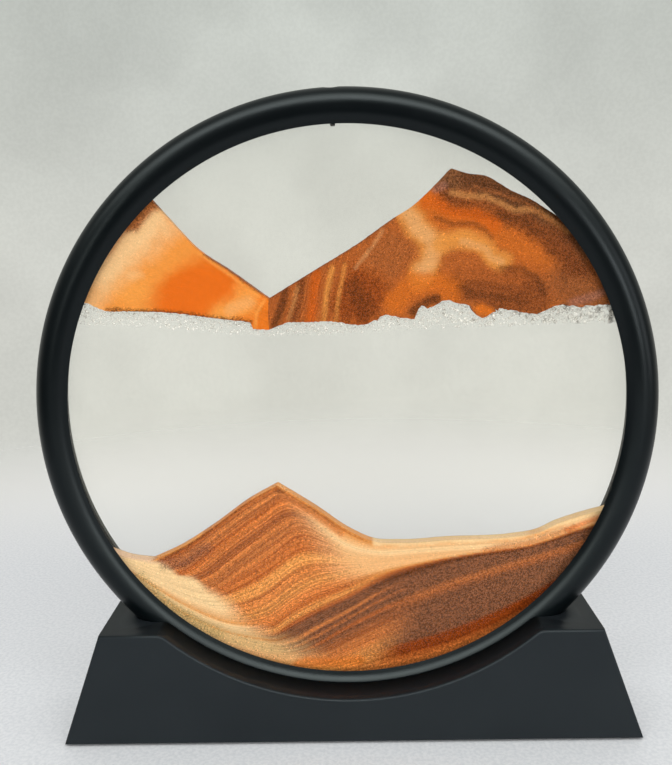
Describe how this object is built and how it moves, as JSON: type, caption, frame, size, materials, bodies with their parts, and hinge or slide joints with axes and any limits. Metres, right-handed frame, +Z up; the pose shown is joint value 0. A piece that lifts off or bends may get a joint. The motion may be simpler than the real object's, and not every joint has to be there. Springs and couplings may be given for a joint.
{
  "type": "moving sand picture",
  "caption": "Round glass cell of water, air bubbles and coloured sand in a black tube ring that turns in the grooved saddle of a trapezoid stand.",
  "frame": {"origin": "on the table, under the middle of the stand", "axes": "+Z up, +X to the right as seen from the front, front towards -Y, the ring's axis along Y"},
  "size_m": [0.178, 0.031, 0.1845],
  "materials": {
    "black_plastic": "satin",
    "under_plastic": "matt",
    "clear_glass": "polished",
    "water": "clear",
    "bubbles": "clear",
    "cream_sand": "grainy",
    "orange_sand": "grainy",
    "striped_sand": "grainy",
    "brown_sand": "grainy",
    "rust_sand": "grainy",
    "spacer": "matt",
    "sealant": "matt",
    "silicone": "matt",
    "zinc_steel": "bright",
    "foam_rubber": "matt"
  },
  "bodies": {
    "stand": {"stand_shell": "black_plastic", "bottom_cover": "under_plastic", "cover_screw_front_left": "zinc_steel", "cover_screw_front_right": "zinc_steel", "cover_screw_rear_left": "zinc_steel", "cover_screw_rear_right": "zinc_steel", "foot_pad_front_left": "foam_rubber", "foot_pad_front_right": "foam_rubber", "foot_pad_rear_left": "foam_rubber", "foot_pad_rear_right": "foam_rubber"},
    "disc": {"front_ring": "black_plastic", "rear_ring": "black_plastic", "front_glass": "clear_glass", "rear_glass": "clear_glass", "spacer_strip": "spacer", "edge_sealant": "sealant", "fill_plug": "silicone", "lower_sand_foot": "cream_sand", "lower_sand_dune": "striped_sand", "lower_sand_crest": "cream_sand", "lower_sand_body": "brown_sand", "lower_sand_rim": "rust_sand", "upper_sand_left": "orange_sand", "upper_sand_right": "orange_sand", "upper_sand_crown": "brown_sand", "upper_water": "water", "lower_water": "water", "bubble_layer": "bubbles"}
  },
  "joints": [
    {"name": "disc_spin", "type": "hinge", "parent": "stand", "child": "disc", "pos_m": [0, 0, 0.0955], "axis": [0, 1, 0], "continuous": true}
  ]
}
